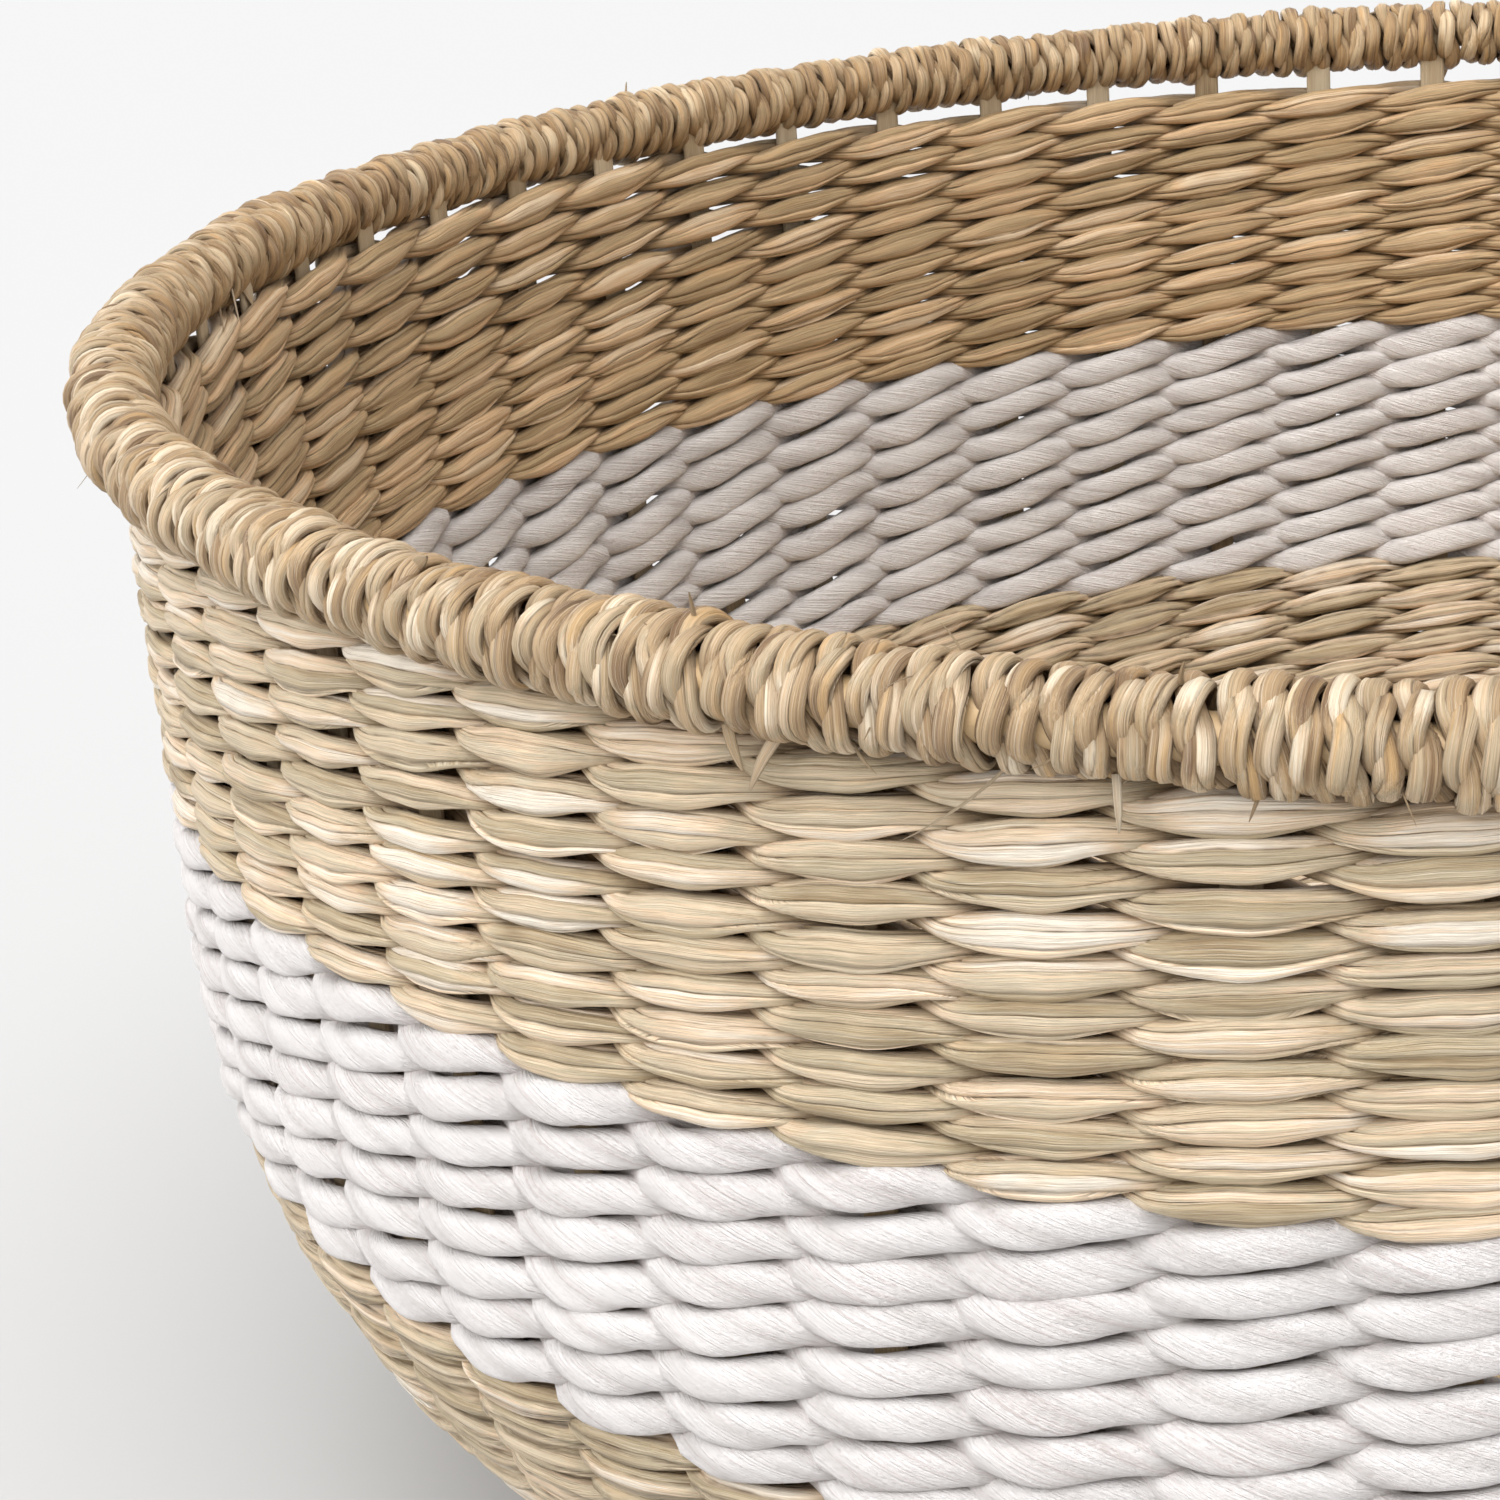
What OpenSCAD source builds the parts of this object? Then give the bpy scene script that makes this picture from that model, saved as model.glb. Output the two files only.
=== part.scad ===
// Round market basket of twined cord on flat split-cane stakes.
// Origin: centre of the underside, on the surface it stands on. +Z is up.

/* [Overall] */
// Height from the floor to the top of the rim
basket_h = 221; // [200:1:240]
// Radius of the rim's centre-line
rim_radius = 260; // [250:1:290]
// Radius of the bowl curve between the wall and the base
bowl_r = 112; // [100:1:120]
// Lean of the wall above the bowl curve, in degrees from upright
wall_lean = 3; // [1:0.5:5]

/* [Rim] */
// Diameter of the wrapped rim roll
rim_d = 16.6; // [16:0.1:20]
// Thickness of the cord wrapped round the rim
wrap_t = 2.5; // [1.5:0.1:2.8]
// Diameter of the cane hoop inside the rim
hoop_d = 6.6; // [4:0.1:6.8]
// Distance of the wall inside the rim's centre-line
wall_inset = 4; // [3:0.1:4]
// Open gap between the rim and the first row
rim_gap = 2.1; // [1:0.1:4]

/* [Stakes and base sticks] */
// Number of side stakes, one on each end of a base stick
stakes = 60; // [48:4:60]
// Width of a stake or stick
stake_w = 5.6; // [4:0.1:5.6]
// Thickness of a stake or stick
stake_t = 1.2; // [0.8:0.1:1.2]
// Length of each stake tucked into the base
tuck_l = 34; // [20:1:50]

/* [Rows of weave] */
// Natural rows between the rim and the white band
upper_rows = 10; // [6:1:12]
// Height of a natural row above the white band
upper_pitch = 5.67; // [5:0.01:6]
// Rows in the white band
white_rows = 8; // [4:1:8]
// Height of a white row
white_pitch = 7.23; // [6:0.01:7.5]
// Natural rows between the white band and the base
lower_rows = 24; // [20:1:24]
// Rows in the flat base
base_rows = 12; // [8:1:12]
// Width of a base row
base_pitch = 6.4; // [5.6:0.1:6.4]

/* [Hidden] */
$fn = 96;
// Clearance between neighbouring pieces
clear = 0.05;
// Height of the base cords above the floor, which only the foot row touches
foot_lift = 0.3;
// How much thicker the foot row's cord is, and how much of it is worn flat
foot_extra = 0.25;
foot_flat = 0.4;
// How far the stakes rise past the rim's centre-line
stake_rise = 1.8;
// Flat steps in a stake's bend, fine enough to stay inside the clearance
bend_steps = 29;

// Stakes and sticks lie in two layers, this far to each side of the wall's middle surface
layer = clear / 2 + stake_t;
// Sticks in each layer of the base, and the distance between them where they cross
sticks = stakes / 4;
stick_step = stake_w + 0.2;
// Angle between neighbouring stakes
stake_step = 360 / stakes;

// The middle surface: a flat base, a quarter-round bowl curve and a leaning upright
rim_z = basket_h - rim_d / 2;
base_z = foot_lift + 2 * cord_r(base_pitch) + clear + layer;
curve_z = base_z + bowl_r;
upright_l = (rim_z - curve_z + bowl_r * sin(wall_lean)) / cos(wall_lean);
curve_r = rim_radius - wall_inset - upright_l * sin(wall_lean) - bowl_r * cos(wall_lean);
curve_angle = 90 - wall_lean;

// Distances down the middle surface, from the height of the rim's centre
upper_s = (rim_d / 2 + rim_gap) / cos(wall_lean);
white_s = upper_s + upper_rows * upper_pitch;
lower_s = white_s + white_rows * white_pitch;
base_s = upright_l + bowl_r * curve_angle * PI / 180;
lower_pitch = (base_s - lower_s) / lower_rows;

// Row 7 of a band is called band_07
function row_name(band, i) = str(band, i < 10 ? "_0" : "_", i);

// Radius of a cord that clears its neighbours in rows of this pitch, inside the bowl curve too
function cord_r(pitch) =
    (pitch / 2 * (1 - (layer + clear) / bowl_r) - clear) / (1 + pitch / 2 / bowl_r);

// Direction that the middle surface faces at distance s, as an angle from the horizontal
function facing(s) = -min(90, wall_lean + max(0, s - upright_l) / bowl_r * 180 / PI);

// Point on the middle surface at distance s, as radius and height
function surface_point(s) =
    s < upright_l
        ? [rim_radius - wall_inset - s * sin(wall_lean), rim_z - s * cos(wall_lean)]
    : s < base_s
        ? [curve_r + bowl_r * cos(facing(s)), curve_z + bowl_r * sin(facing(s))]
        : [curve_r - (s - base_s), base_z];

// One cord of a row, laid round the basket at an offset from the middle surface
module cord_ring(s, offset, radius) {
    rotate_extrude()
        translate(surface_point(s) + offset * [cos(facing(s)), sin(facing(s))])
            circle(radius);
}

// A row is a pair of cords, one on each side of the stakes
module cord_pair(s, pitch) {
    radius = cord_r(pitch);
    for (side = [-1, 1])
        cord_ring(s, side * (layer + clear + radius), radius);
}

// The outermost base row: its lower cord is thicker and flat where it meets the floor
module foot_pair(s) {
    radius = cord_r(base_pitch);
    foot_r = radius + foot_extra;
    cord_ring(s, -(layer + clear + radius), radius);
    difference() {
        cord_ring(s, base_z + foot_flat - foot_r, foot_r);
        translate([0, 0, -10])
            cylinder(h = 10, r = curve_r + foot_r);
    }
}

module upper_row(i) {
    color("burlywood") cord_pair(upper_s + (i - 0.5) * upper_pitch, upper_pitch);
}

module white_row(i) {
    color("whitesmoke") cord_pair(white_s + (i - 0.5) * white_pitch, white_pitch);
}

module lower_row(i) {
    color("burlywood") cord_pair(lower_s + (i - 0.5) * lower_pitch, lower_pitch);
}

module base_row(i) {
    s = base_s + (i - 0.5) * base_pitch;
    color("tan")
        if (i == 1) foot_pair(s);
        else cord_pair(s, base_pitch);
}

// One side of a stake's bent outline, at an offset from the middle surface
function stake_edge(offset) = concat(
    [[curve_r - tuck_l, base_z - offset]],
    [for (i = [0:bend_steps])
        let (angle = 90 - i * curve_angle / bend_steps)
            [curve_r + (bowl_r + offset) * cos(angle), curve_z - (bowl_r + offset) * sin(angle)]],
    [surface_point(-stake_rise) + offset * [cos(wall_lean), -sin(wall_lean)]]
);

function reversed(points) = [for (i = [len(points) - 1:-1:0]) points[i]];

// A stake at angle 0: flat among the base rows, bent up the bowl curve and straight to the rim.
// Side 1 is the layer that faces out, side -1 the layer that faces in.
module stake(side) {
    rotate([90, 0, 0])
        linear_extrude(stake_w, center = true)
            polygon(concat(
                stake_edge(side * layer),
                reversed(stake_edge(side * clear / 2))
            ));
}

// Stakes stand in the upper layer over lower sticks, and in the lower layer under upper sticks
module side_stakes() {
    color("wheat")
        for (quarter = [0:3])
            for (i = [1:sticks])
                rotate([0, 0, quarter * 90 + stick_angle(i)])
                    stake(quarter % 2 == 0 ? -1 : 1);
}

// Place of stick i across its layer, and the angle at which its end leaves the crossing
function stick_offset(i) = (i - (sticks + 1) / 2) * stick_step;
function stick_angle(i) = (i - (sticks + 1) / 2) * stake_step;

// Radius where a stick bends outwards, so that it runs straight out from the centre
function bend_radius(i) =
    stick_angle(i) == 0 ? sticks * stick_step / 2 : stick_offset(i) / sin(stick_angle(i));

// Half of a stick's outline, from its right end to its bend, along its upper or lower edge
function stick_edge(i, side) =
    let (
        angle = stick_angle(i),
        end_r = curve_r - clear,
        half_w = side * stake_w / 2
    ) [
        end_r * [cos(angle), sin(angle)] + half_w * [-sin(angle), cos(angle)],
        bend_radius(i) * [cos(angle), sin(angle)] + half_w * [-tan(angle / 2), 1]
    ];

function mirrored(points) = [for (p = points) [-p.x, p.y]];

// One base stick: straight across the middle and fanned out at both ends
module base_stick(i) {
    upper = stick_edge(i, 1);
    lower = stick_edge(i, -1);
    linear_extrude(stake_t)
        polygon(concat(
            upper, reversed(mirrored(upper)),
            mirrored(lower), reversed(lower)
        ));
}

module base_sticks_lower() {
    color("wheat")
        translate([0, 0, base_z - layer])
            for (i = [1:sticks]) base_stick(i);
}

module base_sticks_upper() {
    color("wheat")
        translate([0, 0, base_z + clear / 2])
            rotate([0, 0, 90])
                for (i = [1:sticks]) base_stick(i);
}

// The cane hoop that stiffens the rim, on the outer side of the stakes
module rim_hoop() {
    color("peru")
        rotate_extrude()
            translate([rim_radius + rim_d / 2 - wrap_t - hoop_d / 2 - 2 * clear, rim_z])
                circle(d = hoop_d);
}

// The cord wrapped round hoop and stake ends, with the slit that the stakes come up through
module rim_wrap() {
    color("burlywood")
        rotate_extrude()
            difference() {
                translate([rim_radius, rim_z])
                    circle(d = rim_d);
                translate([rim_radius, rim_z])
                    circle(d = rim_d - 2 * wrap_t);
                translate([rim_radius - wall_inset, rim_z])
                    rotate(-wall_lean)
                        translate([-layer - 2 * clear, -rim_d])
                            square([2 * layer + 4 * clear, rim_d]);
            }
}

rim_hoop();
rim_wrap();
side_stakes();
base_sticks_lower();
base_sticks_upper();
for (i = [1:upper_rows])
    upper_row(i);
for (i = [1:white_rows])
    white_row(i);
for (i = [1:lower_rows])
    lower_row(i);
for (i = [1:base_rows])
    base_row(i);
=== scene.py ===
"""Woven market basket: twined cord rows on split-cane stakes under a wrapped rim."""
import math

import bpy
import numpy as np
from mathutils import Matrix, Vector


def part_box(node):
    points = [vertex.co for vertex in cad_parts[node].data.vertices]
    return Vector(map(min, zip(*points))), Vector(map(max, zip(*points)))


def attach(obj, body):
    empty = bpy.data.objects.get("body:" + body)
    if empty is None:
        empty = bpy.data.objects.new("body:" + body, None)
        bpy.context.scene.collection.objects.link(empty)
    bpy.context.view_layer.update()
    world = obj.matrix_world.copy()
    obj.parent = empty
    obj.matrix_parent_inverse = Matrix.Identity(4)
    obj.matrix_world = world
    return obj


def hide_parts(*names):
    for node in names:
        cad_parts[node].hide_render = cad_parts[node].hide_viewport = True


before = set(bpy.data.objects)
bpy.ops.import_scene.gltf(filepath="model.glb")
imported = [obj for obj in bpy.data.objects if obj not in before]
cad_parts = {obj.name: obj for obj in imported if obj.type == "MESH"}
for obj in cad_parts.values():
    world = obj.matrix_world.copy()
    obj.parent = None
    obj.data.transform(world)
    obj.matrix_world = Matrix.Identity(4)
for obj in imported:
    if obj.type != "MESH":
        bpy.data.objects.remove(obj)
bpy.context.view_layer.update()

# ---------------------------------------------------------------- sizes, in metres
STAKES = 60
STAKE_STEP = 2 * math.pi / STAKES
BOWL_R = 0.112
WALL_LEAN = math.radians(3)
WALL_INSET = 0.004
RIM_GAP = 0.0021
UPPER_PITCH = 0.00567
WHITE_PITCH = 0.00723
BASE_PITCH = 0.0064
STAKE_T = 0.0012
STAKE_W = 0.0056
STAKE_RISE = 0.0018
TUCK_L = 0.034
STICKS = STAKES // 4
STICK_GAP = 0.0002
STICK_STEP = STAKE_W + STICK_GAP
CLEAR = 0.00005
UPPER_ROWS, WHITE_ROWS, LOWER_ROWS, BASE_ROWS = 10, 8, 24, 12

RIM_LOW, RIM_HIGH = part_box("rim_wrap")
RIM_D = RIM_HIGH[2] - RIM_LOW[2]
RIM_Z = RIM_HIGH[2] - RIM_D / 2
RIM_R = RIM_HIGH[0] - RIM_D / 2
BASE_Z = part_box("base_sticks_lower")[1][2] + CLEAR / 2
LAYER = CLEAR / 2 + STAKE_T

CURVE_Z = BASE_Z + BOWL_R
UPRIGHT_L = (RIM_Z - CURVE_Z + BOWL_R * math.sin(WALL_LEAN)) / math.cos(WALL_LEAN)
CURVE_R = RIM_R - WALL_INSET - UPRIGHT_L * math.sin(WALL_LEAN) - BOWL_R * math.cos(WALL_LEAN)
UPPER_S = (RIM_D / 2 + RIM_GAP) / math.cos(WALL_LEAN)
WHITE_S = UPPER_S + UPPER_ROWS * UPPER_PITCH
LOWER_S = WHITE_S + WHITE_ROWS * WHITE_PITCH
BASE_S = UPRIGHT_L + BOWL_R * (math.pi / 2 - WALL_LEAN)
LOWER_PITCH = (BASE_S - LOWER_S) / LOWER_ROWS


# ---------------------------------------------------------------- the wall's middle surface
def facing(s):
    """Angle below the horizontal that the wall faces at distance s down from the rim's centre."""
    bend = WALL_LEAN + np.maximum(0, s - UPRIGHT_L) / BOWL_R
    return -np.minimum(math.pi / 2, bend)


def surface_point(s):
    """Radius and height of the wall's middle surface at distance s."""
    turn = facing(s)
    on_upright = s < UPRIGHT_L
    on_base = s > BASE_S
    r = CURVE_R + BOWL_R * np.cos(turn)
    z = CURVE_Z + BOWL_R * np.sin(turn)
    r = np.where(on_upright, RIM_R - WALL_INSET - s * math.sin(WALL_LEAN), r)
    z = np.where(on_upright, RIM_Z - s * math.cos(WALL_LEAN), z)
    r = np.where(on_base, CURVE_R - (s - BASE_S), r)
    z = np.where(on_base, BASE_Z, z)
    return r, z


def on_wall(phi, s, out):
    """Points at angle phi, distance s down the wall and distance out from its middle surface."""
    r, z = surface_point(s)
    turn = facing(s)
    r = r + out * np.cos(turn)
    z = z + out * np.sin(turn)
    return np.stack([r * np.cos(phi), r * np.sin(phi), z], axis=-1)


# ---------------------------------------------------------------- meshes
def tube_object(name, tubes, closed):
    """One object from tubes, each a dict of points (rings, sides, 3) and per-point attributes."""
    points, quads, attributes, first = [], [], {}, 0
    for tube in tubes:
        rings, sides = tube["points"].shape[:2]
        ring = np.arange(rings if closed else rings - 1)[:, None]
        side = np.arange(sides)[None, :]
        ring_next, side_next = (ring + 1) % rings, (side + 1) % sides
        corner = [ring * sides + side, ring * sides + side_next,
                  ring_next * sides + side_next, ring_next * sides + side]
        quads.append(first + np.stack(np.broadcast_arrays(*corner), axis=-1).reshape(-1, 4))
        points.append(tube["points"].reshape(-1, 3))
        for key, value in tube.items():
            if key != "points":
                attributes.setdefault(key, []).append(value.reshape(rings * sides, -1))
        first += rings * sides
    points, quads = np.concatenate(points), np.concatenate(quads)
    mesh = bpy.data.meshes.new(name)
    mesh.vertices.add(len(points))
    mesh.vertices.foreach_set("co", points.astype(np.float32).ravel())
    mesh.loops.add(quads.size)
    mesh.loops.foreach_set("vertex_index", quads.astype(np.int32).ravel())
    mesh.polygons.add(len(quads))
    mesh.polygons.foreach_set("loop_start", np.arange(0, quads.size, 4, dtype=np.int32))
    mesh.update(calc_edges=True)
    mesh.polygons.foreach_set("use_smooth", np.ones(len(quads), dtype=bool))
    for key, value in attributes.items():
        value = np.concatenate(value).astype(np.float32)
        if value.shape[1] == 1:
            mesh.attributes.new(key, "FLOAT", "POINT").data.foreach_set("value", value.ravel())
        else:
            mesh.attributes.new(key, "FLOAT_VECTOR", "POINT").data.foreach_set("vector", value.ravel())
    obj = bpy.data.objects.new(name, mesh)
    bpy.context.scene.collection.objects.link(obj)
    return obj


def smoothstep(t):
    t = np.clip(t, 0, 1)
    return t * t * (3 - 2 * t)


# How much faster than evenly a value changes midway between two stations
BLEND_STEEPNESS = 1.5


def stations(rng, count, columns, position, spread, around=0.0):
    """Random values at evenly spaced stations round a closed strand, blended midway between them."""
    values = around + spread * rng.uniform(-1, 1, (count, columns))
    low = np.floor(position).astype(int)
    t = smoothstep((position - low - 0.5) * BLEND_STEEPNESS + 0.5)[:, None]
    return values[low % count] * (1 - t) + values[(low + 1) % count] * t


def wander(rng, size, waves):
    """A smooth closed wobble round the basket, in metres."""
    parts = [(wave, rng.uniform(-1, 1), rng.uniform(0, 2 * math.pi)) for wave in waves]
    return lambda phi: size * sum(a * np.sin(wave * phi + start) for wave, a, start in parts)


# ---------------------------------------------------------------- sections of a strand
# Points across each blade, from its crease at -1 to the next at 1, with more of them on the upper rows
CREASE = -1.0
BLADE_PLACES = np.array([CREASE, -0.88, -0.4, 0.3, 0.86])
PLAIN_PLACES = np.array([CREASE, -0.7, 0.4])
# How far a crease wanders, as a part of a blade's width, and how far the whole section turns, in radians
CREASE_WANDER, SECTION_TURN = 0.34, 0.5
# How much blades stand out, tilt and round off, as parts of the height of a ridge
BLADE_LIFT, BLADE_TILT, BLADE_ROUND = 0.6, 0.7, 0.5
# Waves of groove round a paper cord, the longer the deeper, and how far its twist wanders, in radians
GROOVES, TWIST_WANDER = (2, 3, 5, 7), 0.3


def grass_section(number, ridge, places=BLADE_PLACES):
    """Section of a strand made of folded grass blades, with a crease between each two blades."""
    def section(rng, count, position):
        step = 2 * math.pi / number
        edges = np.arange(number) * step + stations(rng, count, number, position, CREASE_WANDER * step)
        edges = edges + stations(rng, count, 1, position, SECTION_TURN)
        widths = np.roll(edges, -1, axis=1) - edges
        widths[:, -1] += 2 * math.pi
        lift = stations(rng, count, number, position, BLADE_LIFT * ridge)
        tilt = stations(rng, count, number, position, BLADE_TILT * ridge)
        tone = stations(rng, count, number, position, spread=0.5, around=0.5)
        place = places[None, None, :]
        angle = edges[:, :, None] + widths[:, :, None] * (place + 1) / 2
        # Crease points: sunk a little, and darkened by the material as painted shade
        crease = np.where(place == CREASE, 1.0, 0.0) * np.ones_like(angle)
        rounding = BLADE_ROUND * ridge * place ** 2 + ridge * crease
        factor = 1 + lift[:, :, None] + tilt[:, :, None] * place - rounding
        tone = tone[:, :, None] * np.ones_like(angle)
        return [a.reshape(len(position), -1) for a in (angle, factor, crease, tone)]
    return section


def paper_section(sides, ridge, spin):
    """Section of a twisted paper cord: round, with shallow grooves that follow the twist."""
    def section(rng, count, position):
        angle = np.linspace(0, 2 * math.pi, sides, endpoint=False)[None, :] + 0 * position[:, None]
        turned = angle + spin * position[:, None] + stations(rng, count, 1, position, TWIST_WANDER)
        groove = sum(np.sin(waves * turned + rng.uniform(0, 2 * math.pi)) / waves for waves in GROOVES)
        # The grooves' depth, which the material darkens as painted shade
        crease = np.clip(-groove, 0, 1)
        tone = stations(rng, count, 1, position, spread=0.5, around=0.5) * np.ones_like(angle)
        return angle, 1 + ridge * groove, crease, tone
    return section


# ---------------------------------------------------------------- rows of twined strands
# The fold in a stitch: its place and its reach as parts of the stitch, its depth as a part of the strand
FOLD_PLACE, FOLD_REACH, FOLD_DEPTHS = 0.2, 0.3, (-0.10, 0.22)
# How uneven strands are: parts of their own height and thickness, then parts of the row's pitch
UNEVEN_H, UNEVEN_T = 0.10, 0.08
UNEVEN_OUT, UNEVEN_UP, UNEVEN_SLANT = 0.05, 0.06, 0.05
# How much flatter than a cosine a strand runs past a stake, and the power that squares its section
FLATTENED, SQUARE = 0.12, 2.8
# Painted shade: strands darken inwards from this part of the weave's half thickness, fully after this much
# more
SHADED, SHADED_EDGE = 0.66, 0.42
# Strands start at different places in the pattern of the fibres, up to this many pitches apart
FIBRE_STARTS = 900


def fold_depth(rng, count, position):
    """Where a strand's lower edge is folded over a stake: a sharp kink, different on every stitch."""
    near = np.round(position).astype(int) % count
    place = rng.uniform(-FOLD_PLACE, FOLD_PLACE, count)[near]
    depth = rng.uniform(*FOLD_DEPTHS, count)[near]
    return depth * np.clip(1 - np.abs(position - np.round(position) - place) / FOLD_REACH, 0, 1)


def strand(rng, row, half_turn):
    """One of a row's two strands: out over every second stake and in behind the others."""
    step = STAKE_STEP * row["skip"]
    bellies = STAKES // row["skip"]
    phi = np.linspace(0, 2 * math.pi, bellies * row["rings"], endpoint=False)
    position = phi / step
    phi = phi + row["start"]
    turn = math.pi * position + half_turn
    out_in, up_down = np.cos(turn), np.sin(turn)
    pitch = row["pitch"]

    belly = np.abs(out_in) ** row["sharpness"]
    wobble = stations(rng, bellies, 5, position, 1.0)
    half_h = pitch * (row["cross_h"] + (row["belly_h"] - row["cross_h"]) * belly)
    half_t = pitch * (row["cross_t"] + (row["belly_t"] - row["cross_t"]) * belly)
    half_h = half_h * (1 + UNEVEN_H * wobble[:, 0])
    half_t = half_t * (1 + UNEVEN_T * wobble[:, 1])
    reach = LAYER + pitch * row["belly_t"]
    out = reach * out_in * (1 + FLATTENED - FLATTENED * out_in ** 2) + UNEVEN_OUT * pitch * wobble[:, 2]
    rise = row["rise"] * up_down * np.abs(up_down) ** row["level"]
    rise = rise + UNEVEN_UP * wobble[:, 3] + UNEVEN_SLANT * wobble[:, 4] * up_down
    down = row["s"] + row["wave"](phi) - row["lift"](phi) - pitch * rise
    fold = fold_depth(rng, bellies, position)

    angle, factor, crease, tone = row["section"](rng, bellies, position)
    cos, sin = np.cos(angle), np.sin(angle)
    factor = factor * (np.abs(cos) ** SQUARE + np.abs(sin) ** SQUARE) ** (-1 / SQUARE)
    folded = 1 + fold[:, None] * np.clip(-sin, 0, 1)
    outs = out[:, None] + half_t[:, None] * cos * factor
    downs = down[:, None] - half_h[:, None] * sin * factor * folded
    points = on_wall(phi[:, None], downs, outs)
    points[..., 2] = np.maximum(points[..., 2], 0.0)
    # How far out or in each point lies in the weave, for the painted shade deep in it
    depth = outs / (LAYER + 2 * pitch * row["belly_t"])
    along = phi * float(surface_point(np.array(row["s"]))[0])
    fibre_angle = angle + row["spin"] * along[:, None]
    length = np.broadcast_to(along[:, None] / pitch + rng.uniform(0, FIBRE_STARTS), angle.shape)
    return {"points": points, "crease": crease, "tone": tone,
            "fibre": np.stack([np.cos(fibre_angle), np.sin(fibre_angle), length], axis=-1),
            "deep": smoothstep((SHADED - np.abs(depth)) / SHADED_EDGE),
            "inside": row["inside"] * smoothstep(0.5 - depth)}


# A strand's half height and half thickness at its belly and where it crosses, and its rise from stake to
# stake, as parts of the row's pitch. Then how pointed the belly is, how suddenly the strand rises (0 is at
# once), the fibres' twist in radians a metre, how much its inside darkens (partly ageing, partly painted
# shade), how many stakes it passes at a time and where round the basket it starts
GRASS_ROW = {"belly_h": 0.54, "cross_h": 0.32, "belly_t": 0.33, "cross_t": 0.66, "rise": 0.25,
             "sharpness": 1.3, "level": 0.5, "spin": 0.0, "inside": 1.0, "skip": 1, "start": 0.0,
             "section": grass_section(number=6, ridge=0.18)}
PLAIN_ROW = dict(GRASS_ROW, section=grass_section(6, 0.18, PLAIN_PLACES), inside=0.3)
BASE_ROW = dict(PLAIN_ROW, belly_t=0.44, cross_t=0.72)
PAPER_ROW = {"belly_h": 0.470, "cross_h": 0.34, "belly_t": 0.28, "cross_t": 0.48, "rise": 0.30,
             "sharpness": 0.7, "level": 0.0, "spin": 150.0, "inside": 1.0, "skip": 1, "start": 0.0,
             "section": paper_section(sides=24, ridge=0.075, spin=3.9)}
BANDS = [
    {"name": "upper_row", "rows": UPPER_ROWS, "s": UPPER_S, "pitch": UPPER_PITCH, "look": GRASS_ROW,
     "rings": 14, "slot": "seagrass_cord", "material": "grass"},
    {"name": "white_row", "rows": WHITE_ROWS, "s": WHITE_S, "pitch": WHITE_PITCH, "look": PAPER_ROW,
     "rings": 14, "slot": "paper_cord", "material": "paper"},
    {"name": "lower_row", "rows": LOWER_ROWS, "s": LOWER_S, "pitch": LOWER_PITCH, "look": PLAIN_ROW,
     "rings": 8, "slot": "seagrass_cord", "material": "grass"},
    {"name": "base_row", "rows": BASE_ROWS, "s": BASE_S, "pitch": BASE_PITCH, "look": BASE_ROW,
     "rings": 8, "slot": "seagrass_cord", "material": "grass"},
]


# How far a row wanders up and down, as a part of its pitch, and in how many waves round the basket
ROW_WANDER, ROW_WAVES = 0.05, (2, 3, 5, 8, 13)
# How much of the lift each of the first rows takes
LIFTED_ROWS = {1: 1.0, 2: 0.7, 3: 0.45, 4: 0.2}
# The beaten rows' lift: all round, on one side, how far that side is turned, and in three waves
LIFT_ALL, LIFT_SIDE, LIFT_TURNED, LIFT_WAVES = 0.55, 0.75, 0.35, 0.30
# Base rows from this one inwards pass two stakes at a time, because the stakes crowd there
CROWDED_FROM, CROWDED_RINGS = 5, 12


def lifted(band, number):
    """The first rows are beaten up against the rim on the basket's -X side, and sag a little elsewhere."""
    share = LIFTED_ROWS.get(number, 0.0) if band["name"] == "upper_row" else 0.0
    return lambda phi: share * RIM_GAP * (LIFT_ALL - LIFT_SIDE * np.cos(phi - LIFT_TURNED)
                                          + LIFT_WAVES * np.sin(3 * phi))


def build_row(band, number, seed):
    """A row's piece, which stands for the CAD row of the same number."""
    rng = np.random.default_rng(seed)
    row = dict(band["look"])
    row.update(pitch=band["pitch"], rings=band["rings"], s=band["s"] + (number - 0.5) * band["pitch"],
               wave=wander(rng, ROW_WANDER * band["pitch"], ROW_WAVES), lift=lifted(band, number))
    if band["name"] == "base_row" and number >= CROWDED_FROM:
        row.update(skip=2, start=STAKE_STEP / 2, rings=CROWDED_RINGS)
    tubes = [strand(rng, row, half_turn) for half_turn in (0.0, math.pi)]
    node = f"{band['name']}_{number:02d}"
    piece = tube_object(f"twined_{node}", tubes, closed=True)
    return finish_piece(piece, band["slot"], band["material"], node)


# ---------------------------------------------------------------- rim
# Wraps round the whole rim, rings of points and turns of twist in each wrap, and pieces end to end
WRAPS, WRAP_RINGS, PLY_TWISTS, RIM_PARTS = 372, 34, 2.15, 4
# A ply's radius, and how flat and how wide it is pressed
PLY_R, PLY_FLAT, PLY_WIDE = 0.00140, 0.86, 1.32
# How far the plies swing round the cord's middle, and how deep in the roll that middle is
PLY_SWING, CORD_DEPTH = 0.00088, 0.0025
# How uneven the wraps are: twist in turns, ply's size and swing as parts, height and place in metres
UNEVEN_TWIST, UNEVEN_PLY, UNEVEN_SWING = 0.22, 0.14, 0.15
UNEVEN_HEIGHT, UNEVEN_PLACE = 0.00055, 0.0008
# How deep between the plies the painted shade starts, and over how much more depth it becomes full
SHADE_DEPTH, SHADE_FALL = 0.0011, 0.0015
# The length of one step of the fibres' pattern, and how many steps apart the two plies are in it
FIBRE_STEP, PLY_STEPS_APART = 0.005, 40
RIM_UNEVEN = np.random.default_rng(11).uniform(-1, 1, (WRAPS, 5))
RIM_SECTION, SECTIONS_A_WRAP = grass_section(number=3, ridge=0.16), 5
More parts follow.
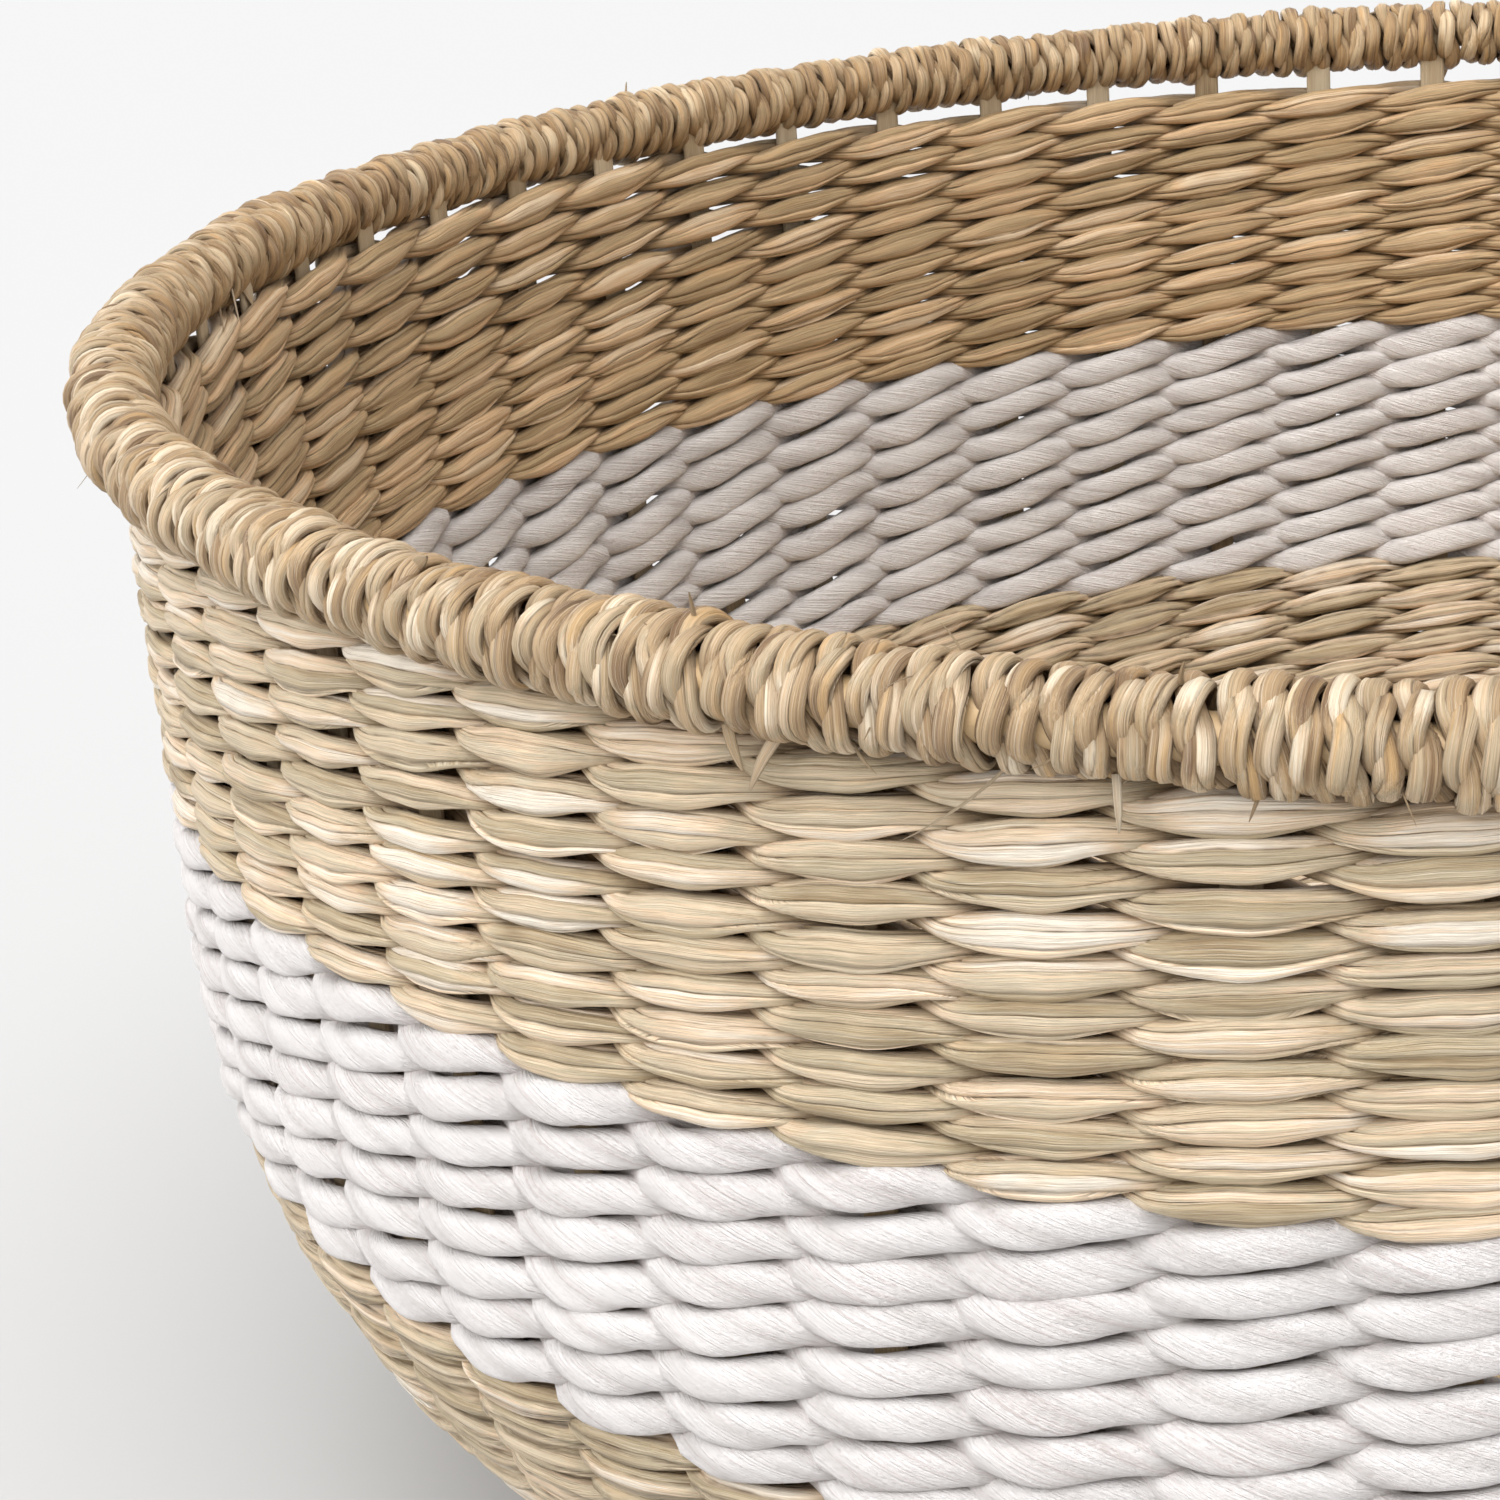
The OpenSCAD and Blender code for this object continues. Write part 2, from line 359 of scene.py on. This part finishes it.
# How sharply the darkening of the rim's inner side, partly ageing and partly painted shade, begins over the
# top of the roll
AGE_AND_SHADE_EDGE = 0.8
RIM_SEED = 500


def ply(rng, first, last, which):
    """One of the two plies of the cord wound round the rim, from wrap first to wrap last."""
    turns = np.linspace(first, last, int((last - first) * WRAP_RINGS) + 1)
    index = np.floor(turns).astype(int)
    t = smoothstep(turns - index)
    uneven = RIM_UNEVEN[index % WRAPS] * (1 - t)[:, None] + RIM_UNEVEN[(index + 1) % WRAPS] * t[:, None]
    psi = -2 * math.pi * turns
    phi = 2 * math.pi * turns / WRAPS
    twist = 2 * math.pi * (PLY_TWISTS * turns + UNEVEN_TWIST * uneven[:, 0]) + which * math.pi
    ply_r = PLY_R * (1 + UNEVEN_PLY * uneven[:, 1] * (1 if which else -1))
    swing = PLY_SWING * (1 + UNEVEN_SWING * uneven[:, 2])
    roll_r = RIM_D / 2 - CORD_DEPTH + UNEVEN_HEIGHT * uneven[:, 3] + swing * np.cos(twist)
    side = UNEVEN_PLACE * uneven[:, 4] - swing * np.sin(twist)

    places = turns * SECTIONS_A_WRAP % (WRAPS * SECTIONS_A_WRAP)
    angle, factor, crease, tone = RIM_SECTION(rng, WRAPS * SECTIONS_A_WRAP, places)
    a = roll_r[:, None] + PLY_FLAT * ply_r[:, None] * np.cos(angle) * factor
    b = side[:, None] - PLY_WIDE * ply_r[:, None] * np.sin(angle) * factor
    radius = RIM_R + a * np.cos(psi)[:, None]
    turn = phi[:, None] + b / RIM_R
    heights = RIM_Z + a * np.sin(psi)[:, None]
    along = turns * math.pi * RIM_D / FIBRE_STEP
    length = np.broadcast_to(along[:, None] + PLY_STEPS_APART * which, angle.shape)
    # The roll's inner side, darkened partly for ageing and partly as painted shade
    inner_side = smoothstep(0.5 - AGE_AND_SHADE_EDGE * np.cos(psi))[:, None]
    return {"points": np.stack([radius * np.cos(turn), radius * np.sin(turn), heights], axis=-1),
            "crease": crease, "tone": tone,
            "fibre": np.stack([np.cos(angle), np.sin(angle), length], axis=-1),
            # Points low between the plies get painted shade
            "deep": smoothstep((RIM_D / 2 - SHADE_DEPTH - a) / SHADE_FALL),
            "inside": inner_side * np.ones_like(a)}


# Ends of blades that stick out of the rim: degrees round the basket and round the roll, length and width
# in millimetres, and how far they lean round the basket and away from the roll for each part that they drop
LOOSE_ENDS = [
    (-117.0, -62, 5.5, 1.7, 0.5, 0.7), (-115.2, -62, 8.5, 1.8, -1.2, 0.6),
    (-112.8, -60, 4.0, 0.5, 1.0, 0.6), (-108.1, -66, 17.0, 0.45, -1.5, 0.7),
    (-105.0, -60, 6.5, 1.2, 0.2, 0.6), (-101.0, -62, 4.0, 0.6, -0.6, 0.8),
    (-118.3, 84, 4.0, 0.8, 0.2, 9.0), (-103.3, 80, 2.5, 0.7, 0.4, 6.0),
    (-129.8, 78, 4.5, 2.2, 1.4, 2.0), (176.0, 205, 10.0, 2.4, 0.3, 0.3), (174.5, 215, 7.0, 2.0, -0.6, 0.5),
    (178.0, 200, 8.0, 1.6, 0.8, 0.4), (-60.0, -60, 6.0, 1.5, 0.4, 0.6), (-31.0, 75, 3.5, 1.2, 0.5, 5.0),
    (38.0, -65, 7.0, 1.6, -0.7, 0.6), (95.0, -60, 5.0, 1.4, 0.3, 0.7), (141.0, 80, 3.0, 0.9, -0.4, 6.0),
]
STRAY_FIBRES = 60
# How deep in the roll a loose end starts, in metres, and how much more length that takes, in millimetres
END_DEPTH, END_HIDDEN = 0.0021, 0.8
# How far an end curls, as a part of its length, its greatest thickness, and how narrow and thin it becomes
END_CURL, END_THICKNESS, END_TAPER, END_THINNING = 0.25, 0.0005, 0.8, 0.5
# How far an end is turned, how flat its grain is, where in the pattern it starts, and the tones it has
END_TURN, END_GRAIN, END_STARTS, END_TONES = 0.3, 0.2, 50, (0.2, 1.0)
END_RINGS, END_SIDES = 9, 8


def loose_end(rng, around, up, length, width, lean, away):
    """A thin, tapered end of a blade that leaves the rim and curls a little."""
    phi, psi = math.radians(around), math.radians(up)
    outward = np.array([math.cos(phi), math.sin(phi), 0.0])
    along = np.array([-math.sin(phi), math.cos(phi), 0.0])
    upward = np.array([0.0, 0.0, 1.0])
    normal = math.cos(psi) * outward + math.sin(psi) * upward
    start = outward * RIM_R + upward * RIM_Z + normal * (RIM_D / 2 - END_DEPTH)
    course = lean * along - upward + away * normal
    course /= np.linalg.norm(course)
    across = np.cross(course, outward + END_TURN * along)
    across /= np.linalg.norm(across)
    through = np.cross(course, across)
    t = np.linspace(0, 1, END_RINGS)[:, None, None]
    angle = np.linspace(0, 2 * math.pi, END_SIDES, endpoint=False)[None, :, None]
    curl = rng.uniform(-END_CURL, END_CURL)
    line = start + (length + END_HIDDEN) / 1000 * (t * course + curl * t ** 2 * across)
    half_w = width / 2000 * (1 - END_TAPER * t ** 3)
    half_t = min(END_THICKNESS / 2, width / 3000) * (1 - END_THINNING * t)
    points = line + half_w * np.cos(angle) * across + half_t * np.sin(angle) * through
    shape = points.shape[:2]
    grain = (np.cos(angle), END_GRAIN * np.sin(angle), t + rng.uniform(0, END_STARTS))
    plain = np.zeros(shape)
    return {"points": points, "crease": plain, "tone": plain + rng.uniform(*END_TONES),
            "fibre": np.stack(np.broadcast_arrays(*grain), axis=-1).reshape(*shape, 3),
            "deep": plain, "inside": plain}


def stray_fibre(rng):
    """A hair-thin fibre somewhere on the outer half of the rim."""
    around, up = rng.uniform(-180, 180), rng.uniform(-80, 110)
    length, width = rng.uniform(1.5, 5.0), rng.uniform(0.2, 0.4)
    lean, away = rng.uniform(-2, 2), rng.uniform(0.8, 3.0)
    return loose_end(rng, around, up, length, width, lean, away)


def build_rim():
    """The wound cord, in a few pieces end to end, which together stand for the CAD wrap."""
    step, quarter = WRAPS / RIM_PARTS, 360 / RIM_PARTS
    for part in range(RIM_PARTS):
        rng = np.random.default_rng(RIM_SEED + part)
        tubes = [ply(rng, part * step, (part + 1) * step, which) for which in (0, 1)]
        tubes += [loose_end(rng, *end) for end in LOOSE_ENDS if int(end[0] % 360 / quarter) == part]
        tubes += [stray_fibre(rng) for _ in range(STRAY_FIBRES // RIM_PARTS)]
        piece = tube_object(f"rim_winding_{part + 1}", tubes, closed=False)
        finish_piece(piece, "rim_cord", "rim", "rim_wrap")


# ---------------------------------------------------------------- stakes and base sticks
# The rounded section of a strip of split cane, as parts of its width and its thickness
CANE_ACROSS = np.array([-0.5, -0.46, -0.3, 0, 0.3, 0.46, 0.5, 0.46, 0.3, 0, -0.3, -0.46])
CANE_THROUGH = np.array([0, 0.36, 0.48, 0.5, 0.48, 0.36, 0, -0.36, -0.48, -0.5, -0.48, -0.36])
# The grain's steps across a strip, and the length of one step along it
GRAIN_ACROSS, GRAIN_LENGTH, GRAIN_STARTS = 3, 0.01, 500
# How far a stake stands beside its place, in radians round the basket
STAKE_ASTRAY = 0.0008
# Rings of points on a stake's upright, bowl curve and tuck, and on each stretch of a base stick
UPRIGHT_RINGS, CURVE_RINGS, TUCK_RINGS, STICK_RINGS = 14, 30, 6, 12
STAKE_SEED, STICK_SEED = 77, 78


def cane_attributes(rng, lengths, shape):
    """Grain along a strip of split cane, and its own tone."""
    across = np.broadcast_to(CANE_ACROSS[None, :] * GRAIN_ACROSS, shape)
    through = np.broadcast_to(CANE_THROUGH[None, :], shape)
    along = np.broadcast_to(lengths[:, None] / GRAIN_LENGTH + rng.uniform(0, GRAIN_STARTS), shape)
    return {"fibre": np.stack([across, through, along], axis=-1),
            "tone": np.full(shape, rng.uniform(0, 1)), "crease": np.zeros(shape)}


def stake(rng, phi, side):
    """A stake, tucked into the base, bent up the bowl curve and straight up into the rim."""
    s = np.concatenate([np.linspace(-STAKE_RISE, UPRIGHT_L, UPRIGHT_RINGS),
                        np.linspace(UPRIGHT_L, BASE_S, CURVE_RINGS)[1:],
                        np.linspace(BASE_S, BASE_S + TUCK_L, TUCK_RINGS)[1:]])
    turn = phi + rng.uniform(-STAKE_ASTRAY, STAKE_ASTRAY) + 0 * s
    radius = surface_point(s)[0]
    across = STAKE_W * CANE_ACROSS[None, :] / radius[:, None]
    out = side * (LAYER + CLEAR / 2) / 2 + STAKE_T * CANE_THROUGH[None, :] + 0 * s[:, None]
    points = on_wall(turn[:, None] + across, s[:, None] + 0 * across, out)
    return {"points": points, **cane_attributes(rng, s, across.shape)}


def build_stakes():
    """All the stakes, in the layer that the base sticks of their quarter leave free."""
    rng = np.random.default_rng(STAKE_SEED)
    tubes = []
    for quarter in range(4):
        for i in range(STICKS):
            phi = quarter * math.pi / 2 + (i - (STICKS - 1) / 2) * STAKE_STEP
            tubes.append(stake(rng, phi, -1 if quarter % 2 == 0 else 1))
    piece = tube_object("cane_stakes", tubes, closed=False)
    finish_piece(piece, "split_cane", "cane", "side_stakes")


def base_stick(rng, i, across_y, z):
    """A base stick: straight across the middle and fanned out at both ends."""
    offset = (i - (STICKS - 1) / 2) * STICK_STEP
    angle = (i - (STICKS - 1) / 2) * STAKE_STEP
    bend = abs(offset / math.sin(angle)) if abs(angle) > 1e-6 else STICKS * STICK_STEP / 2
    end = CURVE_R - CLEAR
    corners = [(-end * math.cos(angle), end * math.sin(angle)), (-bend * math.cos(angle), offset),
               (bend * math.cos(angle), offset), (end * math.cos(angle), end * math.sin(angle))]
    line = []
    for (x0, y0), (x1, y1) in zip(corners, corners[1:]):
        t = np.linspace(0, 1, STICK_RINGS)[:, None]
        line.append(np.array([[x0, y0]]) * (1 - t) + np.array([[x1, y1]]) * t)
    line = np.concatenate([line[0], line[1][1:], line[2][1:]])
    along = np.gradient(line, axis=0)
    along /= np.linalg.norm(along, axis=1)[:, None]
    normal = np.stack([-along[:, 1], along[:, 0]], axis=-1)
    x = line[:, None, 0] + STAKE_W * CANE_ACROSS[None, :] * normal[:, None, 0]
    y = line[:, None, 1] + STAKE_W * CANE_ACROSS[None, :] * normal[:, None, 1]
    if across_y:
        x, y = -y, x
    heights = z + STAKE_T * CANE_THROUGH[None, :] + 0 * x
    lengths = np.linspace(-end, end, len(line))
    return {"points": np.stack([x, y, heights], axis=-1), **cane_attributes(rng, lengths, x.shape)}


def build_base_sticks():
    """Both layers of base sticks, crossed at a right angle."""
    rng = np.random.default_rng(STICK_SEED)
    for node, across_y, side in (("base_sticks_lower", False, -1), ("base_sticks_upper", True, 1)):
        z = BASE_Z + side * (LAYER + CLEAR / 2) / 2
        tubes = [base_stick(rng, i, across_y, z) for i in range(STICKS)]
        piece = tube_object(f"cane_{node}", tubes, closed=False)
        finish_piece(piece, "split_cane", "cane", node)


# ---------------------------------------------------------------- materials
# Colours are linear red, green and blue, and a list of tones gives the place of each along the ramp
MATERIALS = {}
FLOOR_COLOR, FLOOR_ROUGHNESS = (0.487, 0.487, 0.487, 1.0), 0.9


class Nodes:
    """Short helpers for building a material's node tree."""

    def __init__(self, name):
        self.material = bpy.data.materials.new(name)
        self.material.use_nodes = True
        self.tree = self.material.node_tree
        self.shader = self.tree.nodes["Principled BSDF"]

    def add(self, kind, inputs=(), **settings):
        node = self.tree.nodes.new(kind)
        for key, value in settings.items():
            setattr(node, key, value)
        for key, value in dict(inputs).items():
            self.set(node.inputs[key], value)
        return node

    def set(self, socket, value):
        if isinstance(value, bpy.types.NodeSocket):
            self.tree.links.new(value, socket)
        else:
            socket.default_value = value

    def attribute(self, name):
        node = self.add("ShaderNodeAttribute", attribute_name=name)
        return node.outputs["Vector"] if name == "fibre" else node.outputs["Fac"]

    def scaled(self, vector, scale):
        return self.add("ShaderNodeVectorMath", {0: vector, 1: scale}, operation="MULTIPLY").outputs[0]

    def noise(self, vector, scale, detail=2.0, roughness=0.5):
        inputs = {"Vector": vector, "Scale": scale, "Detail": detail, "Roughness": roughness}
        return self.add("ShaderNodeTexNoise", inputs).outputs["Fac"]

    def ramp(self, factor, stops):
        node = self.add("ShaderNodeValToRGB", {"Fac": factor})
        elements = node.color_ramp.elements
        while len(elements) < len(stops):
            elements.new(0.5)
        for element, (place, color) in zip(elements, stops):
            element.position = place
            element.color = (*color, 1.0)
        return node.outputs["Color"]

    def math(self, operation, a, b, c=None):
        """The shader's own arithmetic; MULTIPLY_ADD is a times b plus c."""
        inputs = {0: a, 1: b} if c is None else {0: a, 1: b, 2: c}
        return self.add("ShaderNodeMath", inputs, operation=operation).outputs[0]

    def fade(self, value, low, high, to_low=0.0, to_high=1.0):
        inputs = {"Value": value, "From Min": low, "From Max": high, "To Min": to_low, "To Max": to_high}
        return self.add("ShaderNodeMapRange", inputs).outputs["Result"]

    def mix(self, factor, a, b, kind="MIX"):
        node = self.add("ShaderNodeMix", data_type="RGBA", blend_type=kind)
        self.set(node.inputs[0], factor)
        self.set(node.inputs[6], a if isinstance(a, bpy.types.NodeSocket) else (*a, 1.0))
        self.set(node.inputs[7], b if isinstance(b, bpy.types.NodeSocket) else (*b, 1.0))
        return node.outputs[2]

    def bump(self, height, strength, distance):
        inputs = {"Height": height, "Strength": strength, "Distance": distance}
        return self.add("ShaderNodeBump", inputs).outputs["Normal"]

    def finish(self, color, roughness, normal, **others):
        self.set(self.shader.inputs["Base Color"], color)
        self.set(self.shader.inputs["Roughness"], roughness)
        self.set(self.shader.inputs["Normal"], normal)
        for key, value in others.items():
            self.set(self.shader.inputs[key.replace("_", " ")], value)
        return self.material


GRASS_TONES = [(0.05, (0.34, 0.24, 0.13)), (0.22, (0.53, 0.41, 0.25)), (0.36, (0.58, 0.48, 0.32)),
               (0.50, (0.75, 0.58, 0.39)), (0.62, (0.67, 0.56, 0.39)), (0.76, (0.87, 0.65, 0.44)),
               (0.96, (0.96, 0.86, 0.72))]
RIM_TONES = [(0.08, (0.20, 0.11, 0.05)), (0.30, (0.42, 0.28, 0.15)), (0.48, (0.57, 0.40, 0.23)),
             (0.64, (0.49, 0.38, 0.24)), (0.80, (0.65, 0.48, 0.31)), (1.0, (0.86, 0.74, 0.56))]
CANE_TONES = [(0.25, (0.34, 0.23, 0.12)), (0.45, (0.50, 0.37, 0.22)), (0.60, (0.60, 0.46, 0.29)),
              (0.85, (0.74, 0.61, 0.42))]
GRASS_STAIN, RIM_STAIN = (0.66, 0.47, 0.27), (0.66, 0.40, 0.16)
PALE_FIBRE, DARK_FIBRE = (0.90, 0.82, 0.68), (0.24, 0.16, 0.08)
# Painted shade deep in the weave and between the rim's plies, and painted shade along the blades' creases
SHADE, CREASE_SHADE = (0.22, 0.13, 0.06), (0.16, 0.10, 0.05)
# The inside of the basket is darker, partly from ageing and partly painted shade: its colours are
# multiplied by these
GRASS_AGE_AND_SHADE, RIM_AGE_AND_SHADE, PAPER_AGE_AND_SHADE = (0.82, 0.70, 0.55), (0.88, 0.80, 0.68), (1.0, 0.98, 0.95)
PAPER_TONES = [(0.32, (0.76, 0.68, 0.65)), (0.45, (0.95, 0.90, 0.885)), (0.60, (0.99, 0.955, 0.94))]
# Painted shade deep in the weave, and painted shade in the paper cord's grooves
PAPER_SHADE, PAPER_GROOVE_SHADE = (0.62, 0.52, 0.47), (0.60, 0.53, 0.50)
HOOP_TONES = [(0.3, (0.42, 0.28, 0.14)), (0.7, (0.55, 0.39, 0.21))]


def blade_material(name, tones, stain, age_and_shade, fineness):
    """Dry grass blades: each with its own tone, fine fibres along it, stains, and painted shade in creases
    and deep in the weave.
    """
    n = Nodes(name)
    fibre, tone, crease = n.attribute("fibre"), n.attribute("tone"), n.attribute("crease")
    streaks = n.noise(n.scaled(fibre, (4.0, 4.0, 0.10)), scale=1.6 * fineness, detail=3.0, roughness=0.6)
    hairs = n.noise(n.scaled(fibre, (12.0, 12.0, 0.12)), scale=1.8 * fineness, detail=3.0, roughness=0.65)
    patches = n.noise(n.scaled(fibre, (0.7, 0.7, 0.22)), scale=1.4)
    breaks = n.noise(n.scaled(fibre, (1.2, 1.2, 0.5)), scale=2.0)

    place = n.math("MULTIPLY_ADD", streaks, 0.7, n.math("MULTIPLY_ADD", tone, 0.85, -0.40))
    color = n.ramp(n.math("MULTIPLY_ADD", patches, 0.6, n.math("SUBTRACT", place, 0.10)), tones)
    color = n.mix(n.fade(hairs, 0.52, 0.70, to_high=0.45), color, PALE_FIBRE)
    color = n.mix(n.fade(hairs, 0.46, 0.32, to_high=0.60), color, DARK_FIBRE)
    color = n.mix(n.fade(patches, 0.58, 0.74, to_high=0.60), color, stain)
    # The inside darker, partly ageing and partly painted shade
    color = n.mix(n.attribute("inside"), color, age_and_shade, "MULTIPLY")
    # Painted shade deep in the weave and between the rim's plies
    color = n.mix(n.math("MULTIPLY", n.attribute("deep"), 0.60), color, SHADE)
    # Painted shade along the creases between blades, broken along their length
    edge = n.math("MULTIPLY", crease, n.fade(breaks, 0.35, 0.65, to_low=0.15, to_high=0.95))
    color = n.mix(edge, color, CREASE_SHADE)

    ridges = n.math("ADD", n.math("MULTIPLY", streaks, 0.5), n.math("MULTIPLY", hairs, 0.5))
    roughness = n.fade(streaks, 0.3, 0.7, to_low=0.38, to_high=0.60)
    normal = n.bump(ridges, strength=0.9, distance=0.0010)
    return n.finish(color, roughness, normal, Specular_IOR_Level=0.5)


def paper_material(name):
    """Matte white twisted paper, with fine fibre lines and faint warm grey painted shade in its grooves and
    deep in the weave.
    """
    n = Nodes(name)
    fibre, tone, crease = n.attribute("fibre"), n.attribute("tone"), n.attribute("crease")
    lines = n.noise(n.scaled(fibre, (3.6, 3.6, 0.16)), scale=2.2, detail=4.0, roughness=0.7)
    fuzz = n.noise(n.scaled(fibre, (2.0, 2.0, 1.6)), scale=6.0, detail=3.0, roughness=0.6)

    color = n.ramp(n.math("MULTIPLY_ADD", lines, 0.9, n.math("MULTIPLY", tone, 0.12)), PAPER_TONES)
    # The inside slightly darker, partly ageing and partly painted shade
    color = n.mix(n.attribute("inside"), color, PAPER_AGE_AND_SHADE, "MULTIPLY")
    # Painted shade deep in the weave
    color = n.mix(n.math("MULTIPLY", n.attribute("deep"), 0.25), color, PAPER_SHADE)
    # Painted shade in the grooves
    color = n.mix(n.math("MULTIPLY", crease, 0.42), color, PAPER_GROOVE_SHADE)

    height = n.math("ADD", n.math("MULTIPLY", lines, 0.9), n.math("MULTIPLY", fuzz, 0.25))
    roughness = n.fade(fuzz, 0.3, 0.7, to_low=0.78, to_high=0.95)
    normal = n.bump(height, strength=1.0, distance=0.0016)
    return n.finish(color, roughness, normal, Specular_IOR_Level=0.25)


def cane_material(name):
    """Pale split cane with fine grain along the strip."""
    n = Nodes(name)
    fibre, tone = n.attribute("fibre"), n.attribute("tone")
    grain = n.noise(n.scaled(fibre, (7.0, 7.0, 0.12)), scale=2.0, detail=3.0, roughness=0.6)
    marks = n.noise(n.scaled(fibre, (0.5, 0.5, 0.6)), scale=1.5)
    place = n.math("MULTIPLY_ADD", grain, 0.7, n.math("MULTIPLY_ADD", tone, 0.4, -0.05))
    color = n.ramp(n.math("MULTIPLY_ADD", marks, 0.4, n.math("SUBTRACT", place, 0.18)), CANE_TONES)
    roughness = n.fade(grain, 0.3, 0.7, to_low=0.38, to_high=0.55)
    return n.finish(color, roughness, n.bump(grain, strength=0.8, distance=0.0008))


def hoop_material(name):
    """Plain round cane with a fine, even grain."""
    n = Nodes(name)
    grain = n.noise(n.add("ShaderNodeTexCoord").outputs["Object"], scale=260.0, detail=3.0, roughness=0.6)
    roughness = n.fade(grain, 0.3, 0.7, to_low=0.4, to_high=0.6)
    return n.finish(n.ramp(grain, HOOP_TONES), roughness, n.bump(grain, strength=0.3, distance=0.0004))


def floor_material(name):
    """Pale, even paper backdrop."""
    n = Nodes(name)
    specks = n.noise(n.add("ShaderNodeTexCoord").outputs["Object"], scale=80.0)
    return n.finish(FLOOR_COLOR, FLOOR_ROUGHNESS, n.bump(specks, strength=0.02, distance=0.001))


def make_materials():
    MATERIALS["grass"] = blade_material("dry_grass", GRASS_TONES, GRASS_STAIN, GRASS_AGE_AND_SHADE, fineness=1.0)
    MATERIALS["rim"] = blade_material("rim_grass", RIM_TONES, RIM_STAIN, RIM_AGE_AND_SHADE, fineness=0.6)
    MATERIALS["paper"] = paper_material("white_paper_cord")
    MATERIALS["cane"] = cane_material("split_cane")
    MATERIALS["hoop"] = hoop_material("hoop_cane")


def finish_piece(piece, slot, material, *nodes):
    """Give a piece its material, tie it to the basket's body and hide the CAD nodes it stands for."""
    piece.data.materials.append(MATERIALS[material])
    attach(piece, "root")
    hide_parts(*nodes)
    return piece


def finish_hoop():
    """The hoop is the CAD's own solid, with a cane material."""
    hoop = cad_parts["rim_hoop"]
    hoop.data.materials.clear()
    hoop.data.materials.append(MATERIALS["hoop"])


# ---------------------------------------------------------------- floor, light and camera
FLOOR_SIZE = 40
WORLD_STRENGTH = 0.92
# The camera's place: angle round the basket, distance from its middle and height above the rim's centre
CAMERA_AROUND = math.radians(-92.59)
CAMERA_AWAY = 0.7333
CAMERA_ABOVE_RIM = 0.1619
# How the camera is turned, in radians
CAMERA_YAW = -0.2141 + math.radians(2.59)
CAMERA_PITCH = 0.3261
CAMERA_ROLL = -0.0555
# The sensor's width and the lens in millimetres, and the picture's shift as a part of its width
CAMERA_SENSOR, CAMERA_LENS, CAMERA_SHIFT = 36.0, 99.4, 0.008


def build_floor():
    bpy.ops.mesh.primitive_plane_add(size=FLOOR_SIZE, location=(0, 0, 0))
    floor = bpy.context.object
    floor.name = "floor"
    floor.data.materials.append(floor_material("pale_floor"))


def soft_sun(name, towards, strength, width):
    """A very large, far soft light in that direction; width is how many degrees of the sky it fills."""
    light = bpy.data.lights.new(name, "SUN")
    light.energy, light.angle = strength, math.radians(width)
    lamp = bpy.data.objects.new(name, light)
    lamp.rotation_euler = Vector(towards).to_track_quat("Z", "Y").to_euler()
    bpy.context.scene.collection.objects.link(lamp)


def build_light():
    world = bpy.data.worlds.new("studio")
    world.use_nodes = True
    background = world.node_tree.nodes["Background"]
    background.inputs["Color"].default_value = (1.0, 1.0, 1.0, 1.0)
    background.inputs["Strength"].default_value = WORLD_STRENGTH
    bpy.context.scene.world = world
    soft_sun("key", towards=(-1.05, -0.65, 0.75), strength=1.2, width=35)
    soft_sun("top", towards=(-0.08, -0.50, 1.0), strength=2.6, width=60)
    bpy.context.scene.view_settings.view_transform = "Standard"


def build_camera():
    """The photo's view: from a little above the rim, with the right of the basket out of the frame."""
    forward = Vector((math.sin(CAMERA_YAW) * math.cos(CAMERA_PITCH),
                      math.cos(CAMERA_YAW) * math.cos(CAMERA_PITCH), -math.sin(CAMERA_PITCH)))
    level = Vector((math.cos(CAMERA_YAW), -math.sin(CAMERA_YAW), 0))
    upright = level.cross(forward)
    right = math.cos(CAMERA_ROLL) * level + math.sin(CAMERA_ROLL) * upright
    up = math.cos(CAMERA_ROLL) * upright - math.sin(CAMERA_ROLL) * level
    camera = bpy.data.cameras.new("camera")
    camera.sensor_width, camera.lens, camera.shift_x = CAMERA_SENSOR, CAMERA_LENS, CAMERA_SHIFT
    camera.clip_start, camera.clip_end = 0.01, 100.0
    holder = bpy.data.objects.new("camera", camera)
    turn = Matrix((right, up, -forward)).transposed().to_4x4()
    place = Vector((CAMERA_AWAY * math.cos(CAMERA_AROUND), CAMERA_AWAY * math.sin(CAMERA_AROUND),
                    RIM_Z + CAMERA_ABOVE_RIM))
    holder.matrix_world = Matrix.Translation(place) @ turn
    bpy.context.scene.collection.objects.link(holder)
    bpy.context.scene.camera = holder


make_materials()
for band_number, one_band in enumerate(BANDS, start=1):
    for row_number in range(1, one_band["rows"] + 1):
        build_row(one_band, row_number, seed=1000 * band_number + row_number)
build_rim()
build_stakes()
build_base_sticks()
finish_hoop()
build_floor()
build_light()
build_camera()
